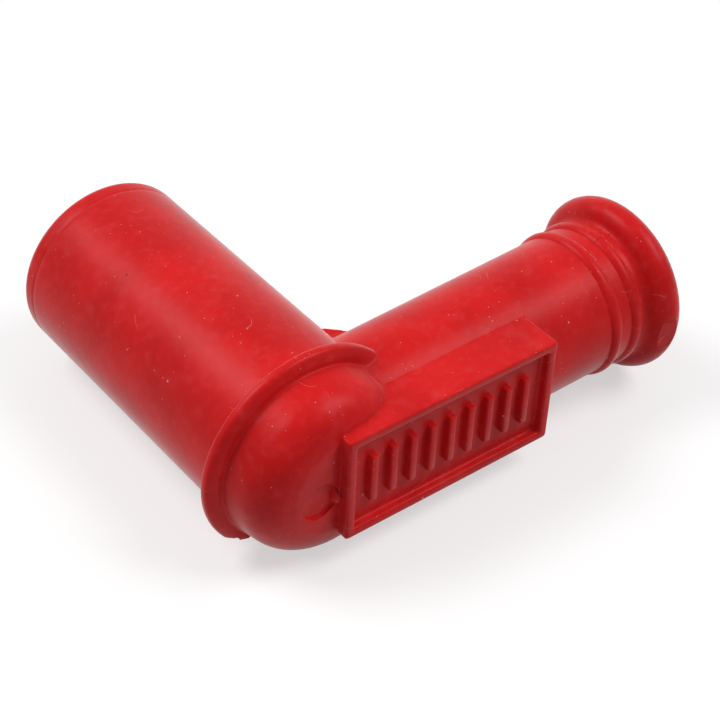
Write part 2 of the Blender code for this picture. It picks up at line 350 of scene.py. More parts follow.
@dataclass(frozen=True)
class SeamFillet:
    """The soft crease that a mould leaves where two forms meet.

    Attributes:
        reach: how far it spreads from the seam.
        finest: about the length of the edges near the seam.
        rounds: how often the points near the seam are smoothed.
        passes: how often the faces near the seam are made plumper first.
        flattest: the sharpest edge that may be turned for that.
    """

    reach: float = 0.00060
    finest: float = 0.00024
    rounds: int = 5
    passes: int = 2
    flattest: float = math.radians(12)

    def apply(self, body: bpy.types.Object) -> int:
        """Softens each seam between two forms.

        Args:
            body: the object that changes.

        Returns:
            How many points it moved.
        """
        form = bmesh.new()
        form.from_mesh(body.data)
        bmesh.ops.remove_doubles(form, verts=form.verts, dist=self.finest / 8)
        for _ in range(self.passes):
            self._even_out(form)
        near = self._near(form)
        for _ in range(self.rounds):
            bmesh.ops.smooth_vert(
                form, verts=near, factor=0.5, mirror_clip_x=False, mirror_clip_y=False, mirror_clip_z=False,
                clip_dist=0, use_axis_x=True, use_axis_y=True, use_axis_z=True,
            )
        for face in form.faces:
            face.material_index = Form.BARREL.value
        form.to_mesh(body.data)
        form.free()
        return len(near)

    def _even_out(self, form: bmesh.types.BMesh) -> None:
        """Splits long edges near the seams, welds short ones and turns the rest for plumper faces.

        Args:
            form: the shape that changes.
        """
        near = set(self._near(form))
        faces = [face for face in form.faces if near.intersection(face.verts)]
        bmesh.ops.triangulate(form, faces=faces, quad_method="BEAUTY", ngon_method="BEAUTY")
        coarse = [e for e in form.edges if near.intersection(e.verts) and e.calc_length() > self.finest * 1.4]
        bmesh.ops.subdivide_edges(form, edges=coarse, cuts=1)
        ngons = [face for face in form.faces if len(face.verts) > 4]
        bmesh.ops.triangulate(form, faces=ngons, quad_method="BEAUTY", ngon_method="BEAUTY")
        bmesh.ops.remove_doubles(form, verts=self._near(form), dist=self.finest * 0.35)
        close = set(self._near(form))
        faces = [face for face in form.faces if len(face.verts) == 3 and close.issuperset(face.verts)]
        inner = set(faces)
        turned = [
            edge for edge in form.edges
            if len(edge.link_faces) == 2 and inner.issuperset(edge.link_faces)
            and len({face.material_index for face in edge.link_faces}) == 1
            and edge.calc_face_angle(0) < self.flattest
        ]
        bmesh.ops.beautify_fill(form, faces=faces, edges=turned, use_restrict_tag=False, method="ANGLE")

    def _near(self, form: bmesh.types.BMesh) -> list[bmesh.types.BMVert]:
        """Finds the points within reach of a seam.

        Args:
            form: the shape that is looked through.

        Returns:
            Those points.
        """
        seams = [e for e in form.edges if len({face.material_index for face in e.link_faces}) > 1]
        marks = dict.fromkeys(vert for edge in seams for vert in edge.verts)
        tree = KDTree(len(marks))
        for number, vert in enumerate(marks):
            tree.insert(vert.co, number)
        tree.balance()
        return [vert for vert in form.verts if tree.find(vert.co)[2] < self.reach]


@dataclass(frozen=True)
class Bored:
    """A turned form with a way in at its end.

    Attributes:
        length: from the crossing of the axes to the mouth.
        lip_turn: how far its lip's rounding opens out past the end face, in degrees.
    """

    length: float
    bore_radius: float
    mouth_radius: float
    mouth_depth: float
    lip_round: float = 0.0005
    lip_turn: float = 80.0
    spacing: float = 0.00046

    def _mouth(self) -> Outline:
        """Draws the start of the bore's cutter.

        Returns:
            The outline of the rounded, tapering mouth, down to the bore's own wall.
        """
        slope = math.degrees(math.atan2(self.mouth_radius - self.bore_radius, self.mouth_depth))
        middle = (self.mouth_radius + self.lip_round, self.length - self.lip_round)
        opening = middle[0] - self.lip_round * math.cos(math.radians(self.lip_turn))
        line = Outline(0, self.length + self.lip_round, 4 * self.spacing)
        line.run(opening, self.length + self.lip_round)
        line.bend(middle, self.lip_round, 180 - self.lip_turn, 180 + slope)
        return line.run(self.bore_radius, self.length - self.mouth_depth)


@dataclass(frozen=True)
class Barrel(Bored):
    """Barrel, mould flange and domed end, turned about the barrel's axis.

    Attributes:
        radius: the barrel's outside.
    """

    radius: float = 0.0120
    length: float = 0.0427
    rim_round: float = 0.0013
    groove_station: float = 0.0400
    groove_depth: float = 0.00005
    groove_half_width: float = 0.00020
    bore_radius: float = 0.0056
    mouth_radius: float = 0.0074
    mouth_depth: float = 0.0042
    flange_radius: float = 0.0141
    flange_thickness: float = 0.0015
    flange_centre: float = -0.0008
    flange_edge_round: float = 0.0005
    flange_back_root: float = 0.0006
    flange_front: float = -0.00185
    flange_lip_round: float = 0.0007
    flange_swell: float = 0.0022
    flange_swell_angle: float = 50.0
    crease_round: float = 0.0003
    dome_radius: float = 0.0117
    dome_depth: float = 0.0089
    dome_flat_radius: float = 0.0069
    dome_taper: float = 10.0
    dome_rim_angle: float = 78.0
    pocket_radius: float = 0.0053
    pocket_mouth: float = 0.0148
    pocket_end: float = -0.0053
    steps: int = 176

    def body(self) -> bmesh.types.BMesh:
        """Returns the outer form, from the mouth's middle over the flange to the dome's middle."""
        back = self.flange_centre + self.flange_thickness / 2
        flange_lip = self.flange_radius - self.flange_edge_round
        line = Outline(0, self.length, self.spacing)
        line.bend((self.radius - self.rim_round, self.length - self.rim_round), self.rim_round, 90, 0)
        line.run(self.radius, self.groove_station + self.groove_half_width)
        line.run(self.radius - self.groove_depth, self.groove_station)
        line.run(self.radius, self.groove_station - self.groove_half_width)
        root = self.flange_back_root
        line.bend((self.radius + root, back + root), root, 180, 270)
        line.bend((flange_lip, back - self.flange_edge_round), self.flange_edge_round, 90, 0)
        self._flange_front(line)
        self._dome(line)
        return line.run(0, -self.dome_depth).spin(Along.BARREL, self.steps)

    def _flange_front(self, line: Outline) -> None:
        """Draws the flange's swollen front, from its lip to the crease at the dome.

        Args:
            line: the outline that it is added to.
        """
        turn = math.radians(self.flange_swell_angle)
        grow = self.flange_swell - self.flange_lip_round
        swell_station = self.flange_front + self.flange_swell
        lip = (self.flange_radius - self.flange_lip_round, swell_station - grow * math.sin(turn))
        line.bend(lip, self.flange_lip_round, 0, -self.flange_swell_angle)
        swell = (lip[0] - grow * math.cos(turn), swell_station)
        line.bend(swell, self.flange_swell, -self.flange_swell_angle, -88)

    def _dome(self, line: Outline) -> None:
        """Draws the crease, the dome's tapered side, its rounding and the edge of its flat.

        Args:
            line: the outline that it is added to.
        """
        taper, rim = math.radians(self.dome_taper), math.radians(self.dome_rim_angle)
        round_radius = self.dome_radius - self.dome_flat_radius
        fall = round_radius * math.cos(rim) / math.tan(rim)
        station = -self.dome_depth + round_radius * math.sin(rim) + fall
        start = (
            self.dome_flat_radius + round_radius * math.cos(taper),
            station - round_radius * math.sin(taper),
        )
        crease_station = self.flange_front - self.crease_round
        side = start[0] + (crease_station - start[1]) * math.tan(taper)
        crease = (side + self.crease_round / math.cos(taper), crease_station)
        line.bend(crease, self.crease_round, 90, 180 - self.dome_taper)
        line.bend((self.dome_flat_radius, station), round_radius, -self.dome_taper, -self.dome_rim_angle)
        line.run(self.dome_flat_radius, -self.dome_depth)

    def bore(self) -> bmesh.types.BMesh:
        """Returns the cutter for the plug's way in and the socket's pocket."""
        line = self._mouth()
        line.run(self.bore_radius, self.pocket_mouth).run(self.pocket_radius, self.pocket_mouth)
        line.run(self.pocket_radius, self.pocket_end).run(0, self.pocket_end)
        return line.spin(Along.BARREL, self.steps // 2)


@dataclass(frozen=True)
class LeadTube(Bored):
    """Lead tube with its rings, neck and flared collar, turned about the lead's axis."""

    radius: float = 0.0094
    elbow_radius: float = 0.0091
    length: float = 0.0533
    bore_radius: float = 0.0037
    mouth_radius: float = 0.0065
    mouth_depth: float = 0.0050
    collar_radius: float = 0.0119
    collar_bead: float = 0.0021
    neck_round: float = 0.0011
    ring_height: float = 0.0005
    ring_half_width: float = 0.0009
    ring_stations: tuple[float, float] = (0.0434, 0.0469)
    chip_depth: float = 0.00042
    chip_lean: float = 16.0
    chip_turn: float = 94.6
    chip_reach: float = 0.0040
    seam_height: float = 0.00007
    seam_half_angle: float = math.radians(1.1)
    seam_start: float = 0.0458
    seam_end: float = 0.0489
    seam_offset: float = -0.0008
    steps: int = 144

    def line(self, proud: float = 0) -> Outline:
        """Draws the tube's outline.

        Args:
            proud: how far it stands outside the tube's own surface.

        Returns:
            The outline, from the collar's middle to the crossing of the axes.
        """
        bead = (self.collar_radius - self.collar_bead, self.length - self.collar_bead)
        neck_radius = self.radius + self.neck_round
        drop = math.sqrt((self.collar_bead + self.neck_round) ** 2 - (neck_radius - bead[0]) ** 2)
        tangent = math.degrees(math.atan2(-drop, neck_radius - bead[0]))
        line = Outline(0, self.length + proud, self.spacing)
        line.bend(bead, self.collar_bead + proud, 90, tangent)
        line.bend((neck_radius, bead[1] - drop), self.neck_round - proud, tangent + 180, 180)
        for station in reversed(self.ring_stations):
            bend = (self.ring_half_width**2 + self.ring_height**2) / (2 * self.ring_height)
            half_angle = math.degrees(math.asin(self.ring_half_width / bend))
            middle = (self.radius + self.ring_height - bend, station)
            line.bend(middle, bend + proud, half_angle, -half_angle)
        return line

    def body(self) -> bmesh.types.BMesh:
        """Returns the outer form."""
        return self.line().run(self.elbow_radius, 0).run(0, 0).spin(Along.LEAD, self.steps)

    def bore(self) -> bmesh.types.BMesh:
        """Returns the cutter for the lead's way in."""
        line = self._mouth()
        return line.run(self.bore_radius, 0).run(0, 0).spin(Along.LEAD, self.steps // 2)

    def parting_ridge(self, side: float) -> bmesh.types.BMesh:
        """Makes the hairline that the mould's halves leave across the rings and neck.

        Args:
            side: 1 for the top of the tube, -1 for its underside.

        Returns:
            A thin wedge that follows the tube's outline.
        """
        line = self.line(self.seam_height)
        points = [point for point in line.points if self.seam_start < point[1] < self.seam_end]
        points += [(self.radius / 2, points[-1][1]), (self.radius / 2, points[0][1])]
        form = bmesh.new()
        face = form.faces.new([form.verts.new(Along.LEAD.point(*point)) for point in points])
        middle = side * math.pi / 2 - self.seam_offset / self.radius * side
        turn = Matrix.Rotation(middle - self.seam_half_angle, 4, "X")
        bmesh.ops.transform(form, matrix=turn, verts=form.verts[:])
        sweep(form, [face, *face.verts, *face.edges], Along.LEAD, 2, 2 * self.seam_half_angle)
        bmesh.ops.recalc_face_normals(form, faces=form.faces)
        return form

    def chip(self) -> bmesh.types.BMesh:
        """Returns the cutter for the flat that was knocked off the collar's rim."""
        reach = self.chip_reach
        lean_angle, bead_middle = math.radians(self.chip_lean), self.collar_radius - self.collar_bead
        cut = bead_middle * math.cos(lean_angle) + self.collar_bead - self.chip_depth
        station = self.length - self.collar_bead
        touch = station + bead_middle * math.sin(lean_angle)
        low, high = (touch - 0.5 * reach, -reach, cut), (touch + reach, reach, cut + reach)
        form = box_form(Vector(low), Vector(high))
        lean = Matrix.Rotation(-lean_angle, 4, "Y")
        turn = Matrix.Rotation(math.radians(self.chip_turn), 4, "X")
        pivot = Matrix.Translation((station, 0, 0))
        bmesh.ops.transform(form, matrix=pivot @ turn @ lean @ pivot.inverted(), verts=form.verts[:])
        return form


@dataclass(frozen=True)
class NamePanel:
    """Panel on the lead tube's front: a bordered field with plain upright ribs.

    Attributes:
        start: its elbow end, along the lead tube.
        end: its lead end.
        depth_start: from the lead's axis to its face, at the elbow end.
        depth_end: the same, at the lead end.
    """

    start: float = -0.0005
    end: float = 0.0307
    half_height: float = 0.0078
    depth_start: float = 0.0104
    depth_end: float = 0.0112
    back: float = -0.0030
    edge_round: float = 0.00028
    border: float = 0.0012
    recess: float = 0.0011
    rib_count: int = 9
    rib_width: float = 0.0011
    rib_half_height: float = 0.0036
    rib_rise: float = 0.0009
    rib_round: float = 0.0003
    spacing: float = 0.00052

    def face(self, x: float) -> float:
        """Returns the Y of the panel's leaning face at a station along the lead tube."""
        share = (x - self.start) / (self.end - self.start)
        return -(self.depth_start + share * (self.depth_end - self.depth_start))

    def body(self) -> bmesh.types.BMesh:
        """Returns the panel, with its field sunk and its edges rounded."""
        low = Vector((self.start, -1, -self.half_height))
        form = box_form(low, Vector((self.end, self.back, self.half_height)))
        for vert in form.verts:
            if vert.co.y < 2 * self.back:
                vert.co.y = self.face(vert.co.x)
        form.normal_update()
        front = min(form.faces, key=lambda face: face.normal.y)
        bmesh.ops.inset_region(form, faces=[front], thickness=self.border, depth=0, use_even_offset=True)
        bmesh.ops.inset_region(
            form, faces=[front], thickness=self.recess / 8, depth=-self.recess, use_even_offset=True,
        )
        round_edges(form, self.edge_round, 3)
        slice_up(form, self.spacing)
        bmesh.ops.recalc_face_normals(form, faces=form.faces)
        return form

    def ribs(self) -> bmesh.types.BMesh:
        """Returns the ribs, evenly spaced across the field and sunk a little into its floor."""
        form = bmesh.new()
        first = self.start + self.border
        pitch = (self.end - self.border - first) / (self.rib_count + 1)
        for number in range(self.rib_count):
            x = first + pitch * (number + 1)
            top = self.face(x) + self.recess - self.rib_rise
            middle = Vector((x, top + self.recess, 0))
            size = Vector((self.rib_width, 2 * self.recess, 2 * self.rib_half_height))
            bmesh.ops.create_cube(form, size=1, matrix=Matrix.LocRotScale(middle, None, size))
        round_edges(form, self.rib_round, 3)
        return form


@dataclass(frozen=True)
class MouldMarks:
    """The web in the elbow's corner, the gate's mark and the flange's tear.

    Attributes:
        torn_below: how far under the barrel's axis the flange is torn away.
        torn_core: what the tear leaves round the barrel's axis.
    """

    web_half_height: float = 0.0052
    web_reach: float = 0.0151
    web_round: float = 0.00025
    spacing: float = 0.00052
    gate_radius: float = 0.0026
    gate_depth: float = 0.0004
    gate_x: float = -0.0034
    gate_z: float = -0.0008
    nib_half_width: float = 0.00072
    nib_half_length: float = 0.0016
    nib_rise: float = 0.00062
    nib_x: float = -0.00115
    nib_z: float = -0.00125
    torn_below: float = 0.0096
    torn_core: float = 0.0119
    torn_half_width: float = 0.0020
    torn_start: float = 0.0112
    torn_slope: float = 0.46
    torn_step: float = 0.00042
    torn_rough: float = 0.00050
    torn_rise: float = 1.1 * MM
    torn_seed: int = 11

    def web(self, tube_radius: float) -> bmesh.types.BMesh:
        """Makes the block whose slanting face closes the elbow's inner corner.

        Args:
            tube_radius: the lead tube's radius at the elbow.

        Returns:
            The block, turned 45 degrees.
        """
        low = Vector((0, -tube_radius, -self.web_half_height))
        form = box_form(low, Vector((self.web_reach, tube_radius, self.web_half_height)))
        round_edges(form, self.web_round, 3)
        slice_up(form, self.spacing)
        bmesh.ops.transform(form, matrix=Matrix.Rotation(math.radians(45), 4, "Z"), verts=form.verts[:])
        return form

    def gate(self, dome_depth: float) -> bmesh.types.BMesh:
        """Makes the cutter for the shallow round mark on the dome's flat.

        Args:
            dome_depth: how far the flat lies from the crossing of the axes.

        Returns:
            The cutter.
        """
        line = Outline(0, -dome_depth - self.gate_radius, self.gate_radius)
        line.run(self.gate_radius, -dome_depth - self.gate_radius)
        floor = self.gate_depth - dome_depth
        corner = self.gate_depth / 4
        line.bend((self.gate_radius - corner, floor - corner), corner, 0, 90)
        form = line.run(0, floor).spin(Along.BARREL, 64)
        bmesh.ops.translate(form, vec=(self.gate_x, 0, self.gate_z), verts=form.verts[:])
        return form

    def nib(self, dome_depth: float) -> bmesh.types.BMesh:
        """Makes the small pointed nib that the gate left beside its mark.

        Args:
            dome_depth: how far the flat lies from the crossing of the axes.

        Returns:
            The nib.
        """
        form = bmesh.new()
        bmesh.ops.create_cone(
            form, cap_ends=True, segments=4, radius1=1, radius2=0.3, depth=2 * self.nib_rise,
        )
        flat = Matrix.Diagonal((self.nib_half_width, self.nib_half_length, 1, 1))
        turn = Matrix.Rotation(math.radians(90), 4, "X")
        place = Matrix.Translation((self.nib_x, -dome_depth, self.nib_z))
        bmesh.ops.transform(form, matrix=place @ turn @ flat, verts=form.verts[:])
        round_edges(form, self.nib_rise / 5, 2)
        bmesh.ops.recalc_face_normals(form, faces=form.faces)
        return form

    def tear(self, barrel: Barrel) -> bpy.types.Object:
        """Makes the ragged cutter that takes the flange's underside away.

        Args:
            barrel: the form whose flange is torn.

        Returns:
            The cutter, as an object.
        """
        rough = random.Random(self.torn_seed)
        reach = barrel.flange_radius + 2 * MM
        form = bmesh.new()
        across = round(2 * reach / self.torn_step)
        middle = (0, barrel.flange_centre, -self.torn_below)
        size = Matrix.LocRotScale(middle, None, (reach, self.torn_half_width, 1))
        bmesh.ops.create_grid(form, x_segments=across, y_segments=6, size=1, matrix=size)
        for vert in form.verts:
            inside = max(self.torn_start - abs(vert.co.x), 0)
            rise = max(self.torn_rise - inside * self.torn_slope, 0)
            vert.co.z += rise + rough.uniform(-1, 1) * self.torn_rough
        sheet = bmesh.ops.extrude_face_region(form, geom=form.faces[:])
        lower = [item for item in sheet["geom"] if isinstance(item, bmesh.types.BMVert)]
        for vert in lower:
            vert.co.z = -reach
        bmesh.ops.recalc_face_normals(form, faces=form.faces)
        cutter = solid("tear", form, Form.CUT)
        line = Outline(0, reach, self.torn_step).run(self.torn_core, reach)
        core = line.run(self.torn_core, -reach).run(0, -reach).spin(Along.BARREL, barrel.steps // 2)
        for vert in core.verts:
            ring = Vector((vert.co.x, 0, vert.co.z))
            vert.co += ring.normalized() * rough.uniform(-0.3, 0.1) * self.torn_rough
        combine(cutter, solid("tear_core", core, Form.CUT), Join.CUT)
        return cutter


@dataclass
class Boot:
    """The one-piece silicone moulding.

    Attributes:
        crossing: where the bores' axes cross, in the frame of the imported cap.
    """

    crossing: Vector
    barrel: Barrel = Barrel()
    tube: LeadTube = LeadTube()
    panel: NamePanel = NamePanel()
    marks: MouldMarks = MouldMarks()
    fillet: SeamFillet = SeamFillet()
    panel_fillet: SeamFillet = SeamFillet(0.00042, 0.00020, 2)
    sharpest: float = math.radians(28)
    weld: float = 0.00002
    largest_flap: int = 60

    def build(self) -> bpy.types.Object:
        """Moulds the boot: joins its forms, softens their seams, then cuts its marks and bores.

        Returns:
            The finished boot, in place.
        """
        boot = solid("silicone_boot", self.barrel.body(), Form.BARREL)
        combine(boot, solid("tube", self.tube.body(), Form.LEAD), Join.ADD)
        combine(boot, solid("web", self.marks.web(self.tube.elbow_radius), Form.WEB), Join.ADD)
        moved = self.fillet.apply(boot)
        combine(boot, solid("panel", self.panel.body(), Form.PANEL), Join.ADD)
        moved += self.panel_fillet.apply(boot)
        log.info("boot: %d points softened along its seams", moved)
        for name, form in (
            ("ribs", self.panel.ribs()), ("upper_ridge", self.tube.parting_ridge(1)),
            ("lower_ridge", self.tube.parting_ridge(-1)),
        ):
            combine(boot, solid(name, form, Form.RIB), Join.ADD)
        combine(boot, solid("gate", self.marks.gate(self.barrel.dome_depth), Form.CUT), Join.CUT)
        combine(boot, solid("nib", self.marks.nib(self.barrel.dome_depth), Form.RIB), Join.ADD)
        combine(boot, self.marks.tear(self.barrel), Join.CUT)
        ways = {"chip": self.tube.chip(), "plug_way": self.barrel.bore(), "lead_way": self.tube.bore()}
        for name, form in ways.items():
            combine(boot, solid(name, form, Form.CUT), Join.CUT)
        self._finish(boot)
        return boot

    def _finish(self, boot: bpy.types.Object) -> None:
        """Welds the mesh, moves it to its place and sets which edges stay sharp.

        Args:
            boot: the boot, drawn about the crossing of the axes.
        """
        form = bmesh.new()
        form.from_mesh(boot.data)
        bmesh.ops.remove_doubles(form, verts=form.verts, dist=self.weld)
        bmesh.ops.dissolve_degenerate(form, edges=form.edges, dist=WELD)
        bmesh.ops.triangulate(form, faces=[face for face in form.faces if len(face.verts) > 4])
        self._drop_flaps(form)
        put_in_place(boot, form, self.crossing, self.sharpest)

    def _drop_flaps(self, form: bmesh.types.BMesh) -> None:
        """Removes the tiny leaves of skin that a cut left standing on edges of three or more faces.

        Args:
            form: the shape that changes.
        """
        crowded = [edge for edge in form.edges if len(edge.link_faces) > 2]
        looked_at: set[bmesh.types.BMFace] = set()
        for start in [face for edge in crowded for face in edge.link_faces]:
            leaf, waiting = [], [] if start in looked_at else [start]
            while waiting and len(leaf) < self.largest_flap:
                face = waiting.pop()
                if face not in looked_at:
                    looked_at.add(face)
                    leaf.append(face)
                    waiting += [
                        other for edge in face.edges if len(edge.link_faces) == 2
                        for other in edge.link_faces if other not in looked_at
                    ]
            if leaf and not waiting:
                log.info("boot: a flap of %d faces dropped", len(leaf))
                bmesh.ops.delete(form, geom=leaf, context="FACES")
                return


@dataclass(frozen=True)
class Brassware:
    """The turned brass socket for the plug's terminal, and the lead screw that joins it to the lead."""

    crossing: Vector
    socket_radius: float = 0.0050
    socket_bore: float = 0.00325
    socket_mouth: float = 0.0145
    socket_floor: float = 0.0040
    socket_end: float = -0.0050
    chamfer: float = 0.0005
    groove_station: float = 0.0115
    groove_half_width: float = 0.0007
    groove_radius: float = 0.0039
    slot_half_width: float = 0.0008
    slot_floor: float = 0.00265
    hole_radius: float = 0.0016
    hole_floor: float = -0.0023
    shank_radius: float = 0.0013
    shank_start: float = -0.0020
    collar_radius: float = 0.0029
    collar_seat: float = 0.0053
    collar_face: float = 0.0063
    root_radius: float = 0.0011
    crest_radius: float = 0.0018
    thread_pitch: float = 0.0020
    thread_turns: int = 4
    thread_root: float = 0.6
    thread_half_width: float = 0.24
    thread_start: float = 0.45
    thread_thinnest: float = 0.1
    steps_per_turn: int = 36
    point_length: float = 0.0030
    steps: int = 96
    spacing: float = 0.0010

    def socket(self) -> bpy.types.Object:
        """Turns the socket and cuts the clip's slot and the screw's cross hole.

        Returns:
            The socket, in place.
        """
        line = Outline(0, self.socket_floor - self.socket_bore / 3, self.spacing)
        upper, lower = (self.groove_station + side * self.groove_half_width for side in (1, -1))
        line.through(
            (self.socket_bore, self.socket_floor), (self.socket_bore, self.socket_mouth - self.chamfer),
            (self.socket_bore + self.chamfer, self.socket_mouth),
            (self.socket_radius - self.chamfer, self.socket_mouth),
            (self.socket_radius, self.socket_mouth - self.chamfer), (self.socket_radius, upper),
            (self.groove_radius, upper), (self.groove_radius, lower), (self.socket_radius, lower),
            (self.socket_radius, self.socket_end + self.chamfer),
            (self.socket_radius - self.chamfer, self.socket_end), (0, self.socket_end),
        )
        made = solid("terminal_socket", line.spin(Along.BARREL, self.steps))
        reach = 2 * self.socket_radius
        low = Vector((-reach, self.groove_station - self.slot_half_width, self.slot_floor))
        high = Vector((reach, self.groove_station + self.slot_half_width, reach))
        combine(made, solid("slot", box_form(low, high)), Join.CUT)
        hole = Outline(0, reach, self.spacing).run(self.hole_radius, reach)
        hole.run(self.hole_radius, self.hole_floor).run(0, self.hole_floor)
        combine(made, solid("hole", hole.spin(Along.LEAD, self.steps // 2)), Join.CUT)
        return settle(made, self.crossing)

    def screw(self) -> bpy.types.Object:
        """Turns the screw and winds its wood-screw thread round it.

        Returns:
            The screw, in place.
        """
        thread_end = self.collar_face + self.thread_turns * self.thread_pitch
        line = Outline(0, thread_end + self.point_length, self.spacing)
        line.through(
            (self.root_radius, thread_end), (self.root_radius, self.collar_face),
            (self.collar_radius, self.collar_face), (self.collar_radius, self.collar_seat),
            (self.shank_radius, self.collar_seat), (self.shank_radius, self.shank_start),
            (0, self.shank_start),
        )
        made = solid("screw", line.spin(Along.LEAD, self.steps // 2))
        combine(made, solid("thread", self._thread()), Join.ADD)
        return settle(made, self.crossing)

    def _thread(self) -> bmesh.types.BMesh:
        """Winds one ridge from the collar to just past the core's point.

        Returns:
            The ridge, which thins out at both ends.
        """
        form = bmesh.new()
        inner = self.root_radius * self.thread_root
        half = self.thread_pitch * self.thread_half_width
        start = self.collar_face + self.thread_pitch * self.thread_start
        section = [(inner, start - half), (self.crest_radius, start), (inner, start + half)]
        face = form.faces.new([form.verts.new(Along.LEAD.point(*point)) for point in section])
        sweep(
            form, [face, *face.verts, *face.edges], Along.LEAD, self.steps_per_turn * self.thread_turns,
            math.tau * self.thread_turns, self.thread_pitch / self.steps_per_turn,
        )
        last = start + self.thread_turns * self.thread_pitch
        for vert in form.verts:
            near_end = min(vert.co.x - start + half, last + half - vert.co.x)
            fade = min(near_end / self.thread_pitch, 1)
            reach = math.hypot(vert.co.y, vert.co.z)
            if reach > self.root_radius:
                keep = inner + (reach - inner) * max(fade, self.thread_thinnest) ** 0.5
                vert.co.yz = Vector(vert.co.yz) * (keep / reach)
        bmesh.ops.recalc_face_normals(form, faces=form.faces)
        return form


@dataclass(frozen=True)
class RetainingClip:
    """Open ring of spring wire in the socket's groove, with one straight side across the bore."""

    crossing: Vector
    ring_radius: float = 0.0046
    wire_radius: float = 0.0004
    station: float = 0.0115
    chord_height: float = 0.00335
    half_opening: float = math.radians(14)
    arc_steps: int = 22
    wire_sides: int = 16

    def build(self) -> bpy.types.Object:
        """Draws the wire's section along the clip's route.

        Returns:
            The clip, in place.
        """
        corner = math.asin(self.chord_height / self.ring_radius)
        end = math.radians(-90) + self.half_opening
        sweep = [corner + (end - corner) * step / self.arc_steps for step in range(self.arc_steps + 1)]
        right = [Vector((math.cos(a), 0, math.sin(a))) * self.ring_radius for a in reversed(sweep)]
        route = right + [Vector((-p.x, 0, p.z)) for p in reversed(right)]
        form = bmesh.new()
        bmesh.ops.create_circle(form, cap_ends=True, segments=self.wire_sides, radius=self.wire_radius)
        facing = self._facing(route, 0)
        bmesh.ops.transform(form, matrix=facing, verts=form.verts[:])
        cap = form.faces[:]
        for number in range(1, len(route)):
            grown = bmesh.ops.extrude_face_region(form, geom=cap, use_keep_orig=True)
            if number > 1:
                bmesh.ops.delete(form, geom=cap, context="FACES_ONLY")
            verts = [item for item in grown["geom"] if isinstance(item, bmesh.types.BMVert)]
            turned = self._facing(route, number)
            bmesh.ops.transform(form, matrix=turned @ facing.inverted(), verts=verts)
            facing = turned
            cap = [item for item in grown["geom"] if isinstance(item, bmesh.types.BMFace)]
        bmesh.ops.translate(form, vec=(0, self.station, 0), verts=form.verts[:])
        bmesh.ops.recalc_face_normals(form, faces=form.faces)
        return settle(solid("spring_clip", form), self.crossing)

    def _facing(self, route: list[Vector], number: int) -> Matrix:
        """Works out where the wire's section stands.

        Args:
            route: the clip's centreline.
            number: which of its points the section stands at.

        Returns:
            The matrix that puts a circle drawn in XY there, square to the route.
        """
        before = route[max(number - 1, 0)]
        after = route[min(number + 1, len(route) - 1)]
        turn = (after - before).to_track_quat("Z", "Y").to_matrix()
        return Matrix.Translation(route[number]) @ turn.to_4x4()


def put_in_place(piece: bpy.types.Object, form: bmesh.types.BMesh, crossing: Vector, sharpest: float) -> None:
    """Gives a piece its final mesh, moved from the crossing of the axes to its place.

    Args:
        piece: the piece.
        form: its shape, which is freed.
        crossing: where the bores' axes cross in the cap's frame.
        sharpest: the angle from which an edge stays sharp.
    """
    bmesh.ops.translate(form, vec=crossing, verts=form.verts[:])
    for face in form.faces:
        face.material_index = 0
        face.smooth = True
    form.to_mesh(piece.data)
    form.free()
    piece.data.materials.clear()
    piece.data.set_sharp_from_angle(angle=sharpest)


def settle(piece: bpy.types.Object, crossing: Vector) -> bpy.types.Object:
    """Moves a small piece's mesh to its place and sets which edges stay sharp.

    Args:
        piece: the piece, drawn about the crossing of the axes.
        crossing: where that is in the cap's frame.

    Returns:
        The piece.
    """
    form = bmesh.new()
    form.from_mesh(piece.data)
    bmesh.ops.remove_doubles(form, verts=form.verts, dist=WELD)
    put_in_place(piece, form, crossing, SHARPEST_SMALL)
    return piece


class Level:
    """A number in a shader, whose sums add Math nodes."""

    def __init__(self, desk: "ShaderDesk", socket: bpy.types.NodeSocket) -> None:
        """Wraps a socket.

        Args:
            desk: the desk that owns the socket's nodes.
            socket: the socket that holds the number.
        """
        self.desk = desk
        self.socket = socket

    def _sum(self, operation: str, first: "Level | float", second: "Level | float") -> "Level":
        """Adds one Math node.

        Args:
            operation: what the node does.
            first: its first number.
            second: its second number.

        Returns:
            The node's result.
        """
        node = self.desk.node("ShaderNodeMath", {"operation": operation}, {0: first, 1: second})
        return Level(self.desk, node.outputs[0])

    def __add__(self, other: "Level | float") -> "Level":
        """Adds."""
        return self._sum("ADD", self, other)

    __radd__ = __add__

    def __sub__(self, other: "Level | float") -> "Level":
        """Subtracts."""
        return self._sum("SUBTRACT", self, other)

    def __mul__(self, other: "Level | float") -> "Level":
        """Multiplies."""
        return self._sum("MULTIPLY", self, other)

    def __abs__(self) -> "Level":
        """Drops the sign."""
        return self._sum("ABSOLUTE", self, 0.0)

    def under(self, limit: float) -> "Level":
        """Returns 1 where this is under a limit, and 0 elsewhere."""
        return self._sum("LESS_THAN", self, limit)

    def fade(self, low: float, high: float) -> "Level":
        """Turns this into a smooth step.

        Args:
            low: where the step is 0.
            high: where it is 1, which may be the lesser of the two.

        Returns:
            The step, from 0 to 1.
        """
        node = self.desk.node(
            "ShaderNodeMapRange", {"interpolation_type": "SMOOTHSTEP"},
            {"Value": self, "From Min": low, "From Max": high},
        )
        return Level(self.desk, node.outputs[0])


